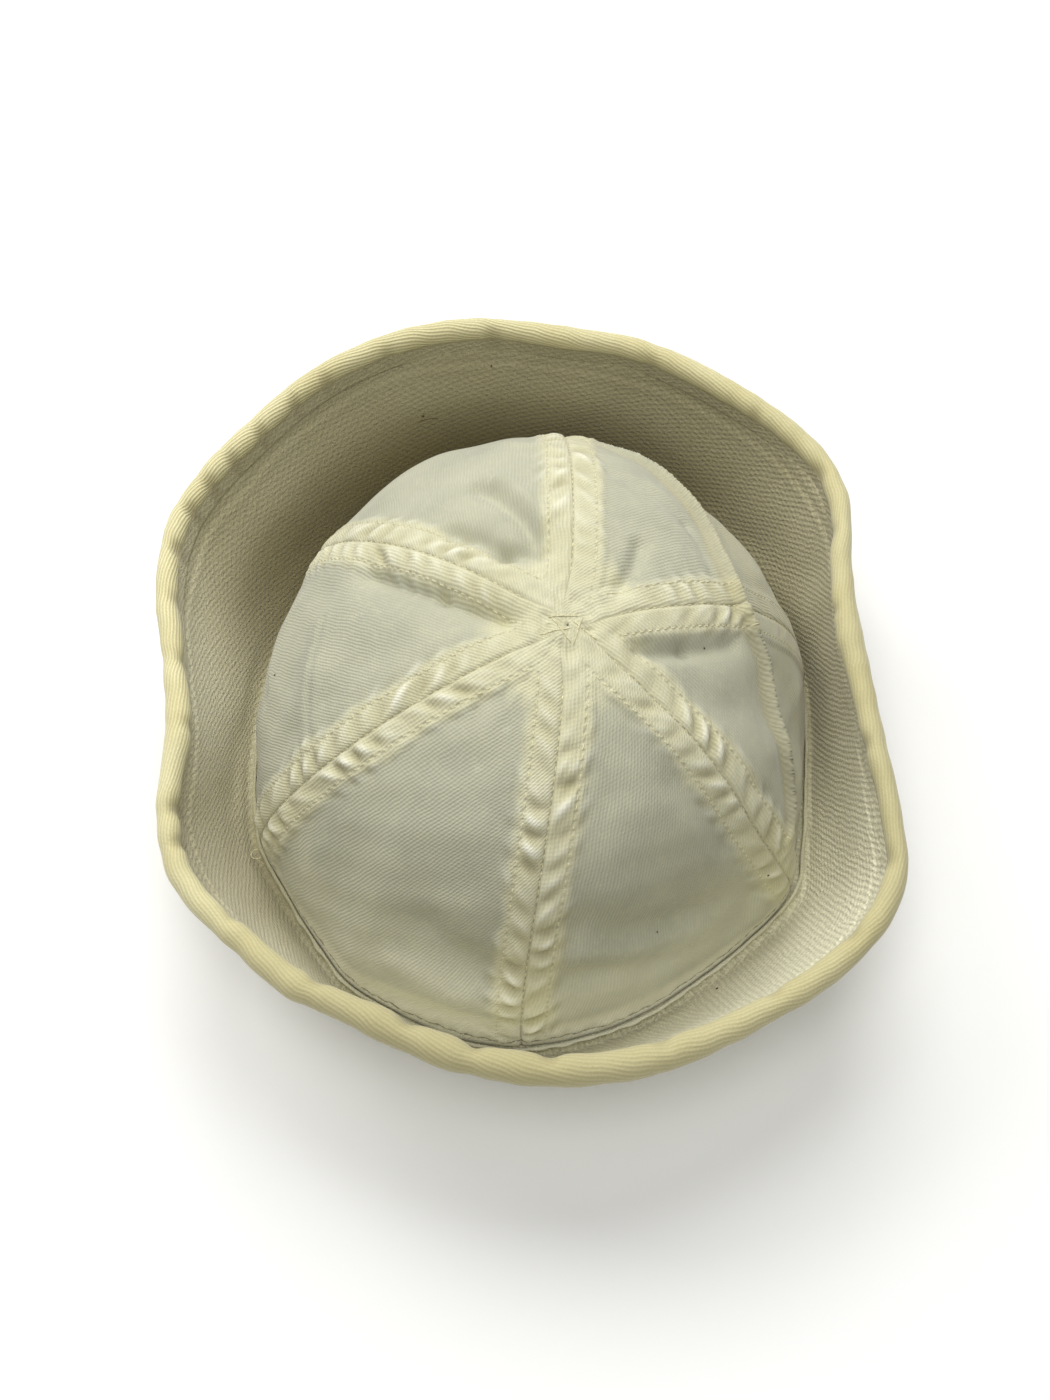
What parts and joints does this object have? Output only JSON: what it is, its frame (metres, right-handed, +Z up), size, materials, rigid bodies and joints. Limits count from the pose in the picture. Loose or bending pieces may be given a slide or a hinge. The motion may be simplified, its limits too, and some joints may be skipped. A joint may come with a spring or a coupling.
{
  "type": "soft cotton sailor cap",
  "caption": "Soft cotton cap with a six-gore dome crown, pressed-open seams and a turned-up twill brim with a thick rolled rim.",
  "frame": {"origin": "under the middle of the rim's outline, on the plane that the folded foot rests on", "axes": "+Z up through the crown, +Y to the back, +X to the wearer's left, which is the right of the picture"},
  "size_m": [0.2128, 0.2425, 0.0857],
  "materials": {
    "gore_cloth": "matte fine cotton twill",
    "seam_cloth": "matte cotton, several layers",
    "lip_cloth": "matte cotton",
    "brim_twill": "matte coarse cotton twill",
    "rim_cloth": "matte cotton, rolled"
  },
  "bodies": {
    "root": {"gore_1": "gore_cloth", "gore_2": "gore_cloth", "gore_3": "gore_cloth", "gore_4": "gore_cloth", "gore_5": "gore_cloth", "gore_6": "gore_cloth", "seam_1": "seam_cloth", "seam_2": "seam_cloth", "seam_3": "seam_cloth", "seam_4": "seam_cloth", "seam_5": "seam_cloth", "seam_6": "seam_cloth", "foot_lip": "lip_cloth", "brim": "brim_twill", "rolled_rim": "rim_cloth"}
  },
  "joints": []
}
